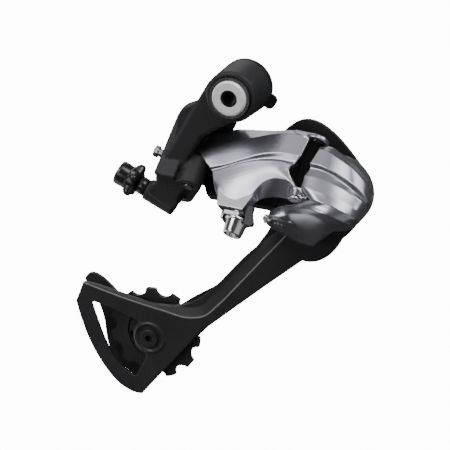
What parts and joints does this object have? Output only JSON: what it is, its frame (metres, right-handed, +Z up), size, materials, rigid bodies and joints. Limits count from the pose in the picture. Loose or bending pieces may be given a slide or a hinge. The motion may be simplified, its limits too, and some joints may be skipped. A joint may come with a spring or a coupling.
{
  "type": "rear bicycle derailleur",
  "caption": "Long-cage rear derailleur: hanger bolt, slanted parallelogram, sprung knuckle and a swinging cage with two toothed jockey pulleys, cable adjuster and clamp.",
  "frame": {"origin": "on the mounting bolt's axis, at the outboard face of the hanger", "axes": "+X forward on the bicycle, +Y inboard towards the wheel along the mounting thread, +Z up"},
  "size_m": [0.161, 0.0604, 0.1841],
  "materials": {
    "black_satin": "satin",
    "silver": "satin",
    "chrome": "polished",
    "steel": "brushed",
    "dark_steel": "satin",
    "black_plastic": "gloss",
    "pulley_plastic": "matte",
    "seal_rubber": "matte",
    "spring_steel": "brushed"
  },
  "bodies": {
    "mount": {"mounting_bolt": "chrome", "bolt_bush": "steel", "stop_plate": "dark_steel", "retaining_clip": "spring_steel"},
    "bracket": {"bracket_body": "black_satin", "bracket_spring": "spring_steel", "pin_a": "steel", "pin_b": "steel", "return_spring": "spring_steel"},
    "tension_screw_body": {"tension_screw": "black_satin"},
    "limit_high_body": {"limit_screw_high": "steel"},
    "limit_low_body": {"limit_screw_low": "steel"},
    "adjuster_stem": {"adjuster_barrel": "black_satin"},
    "adjuster_grip": {"adjuster_knob": "black_plastic"},
    "outer_arm": {"outer_link": "silver", "clamp_plate": "steel", "clamp_bolt": "chrome", "pin_c": "chrome"},
    "inner_arm": {"inner_link": "black_satin"},
    "knuckle": {"knuckle_body": "silver", "hinge_sleeve": "black_plastic", "pin_d": "steel", "cage_spring": "spring_steel", "pivot_seal": "seal_rubber"},
    "cage": {"cage_axle": "steel", "outer_plate": "dark_steel", "inner_plate": "dark_steel", "guide_bolt": "dark_steel", "tension_bolt": "dark_steel", "guide_bush": "steel", "tension_bush": "steel", "seal_caps": "dark_steel"},
    "guide_wheel": {"guide_pulley": "pulley_plastic"},
    "tension_wheel": {"tension_pulley": "pulley_plastic"}
  },
  "joints": [
    {"name": "bracket_swing", "type": "hinge", "parent": "mount", "child": "bracket", "pos_m": [0, 0, 0], "axis": [0, 1, 0], "range_deg": [0, 25], "stiffness_Nm_per_rad": 0.6, "springref_deg": -51.57, "deforming": ["bracket_spring"]},
    {"name": "outer_arm_swing", "type": "hinge", "parent": "bracket", "child": "outer_arm", "pos_m": [-0.021, -0.018, -0.0425], "axis": [0.1, 0.7001, 0.7071], "range_deg": [0, 55], "stiffness_Nm_per_rad": 0.5, "springref_deg": -51.57, "deforming": ["return_spring"]},
    {"name": "inner_arm_swing", "type": "hinge", "parent": "bracket", "child": "inner_arm", "pos_m": [-0.02995, -0.006, -0.05312], "axis": [0.1, 0.7001, 0.7071], "range_deg": [0, 55]},
    {"name": "knuckle_swing", "type": "hinge", "parent": "outer_arm", "child": "knuckle", "pos_m": [0.03273, -0.02462, -0.04355], "axis": [0.1, 0.7001, 0.7071], "range_deg": [-55, 0]},
    {"name": "cage_swing", "type": "hinge", "parent": "knuckle", "child": "cage", "pos_m": [0.0455, 0, -0.046], "axis": [0, -1, 0], "range_deg": [0, 100], "stiffness_Nm_per_rad": 0.35, "springref_deg": -51.57, "deforming": ["cage_spring"]},
    {"name": "guide_spin", "type": "hinge", "parent": "cage", "child": "guide_wheel", "pos_m": [0.0265, 0.0095, -0.0585], "axis": [0, 1, 0], "continuous": true},
    {"name": "tension_spin", "type": "hinge", "parent": "cage", "child": "tension_wheel", "pos_m": [-0.0525, 0.0095, -0.1387], "axis": [0, 1, 0], "continuous": true},
    {"name": "adjuster_travel", "type": "slide", "parent": "bracket", "child": "adjuster_stem", "axis": [-0.907, 0, 0.421], "range_m": [0, 0.004]},
    {"name": "adjuster_turn", "type": "hinge", "parent": "adjuster_stem", "child": "adjuster_grip", "pos_m": [-0.04551, -0.013, -0.05276], "axis": [-0.907, 0, 0.421], "range_deg": [0, 1440]},
    {"name": "tension_screw_travel", "type": "slide", "parent": "bracket", "child": "tension_screw_body", "axis": [1, 0, 0], "range_m": [-0.004, 0.0008]},
    {"name": "limit_high_travel", "type": "slide", "parent": "bracket", "child": "limit_high_body", "axis": [0.9507, 0, -0.3102], "range_m": [-0.001, 0.001]},
    {"name": "limit_low_travel", "type": "slide", "parent": "bracket", "child": "limit_low_body", "axis": [0.995, -0.0704, -0.0711], "range_m": [-0.001, 0.001]}
  ],
  "couplings": [
    {"joint": "inner_arm_swing", "follows": "outer_arm_swing", "ratio": 1},
    {"joint": "knuckle_swing", "follows": "outer_arm_swing", "ratio": -1},
    {"joint": "adjuster_turn", "follows": "adjuster_travel", "rad_per_m": 6283}
  ]
}
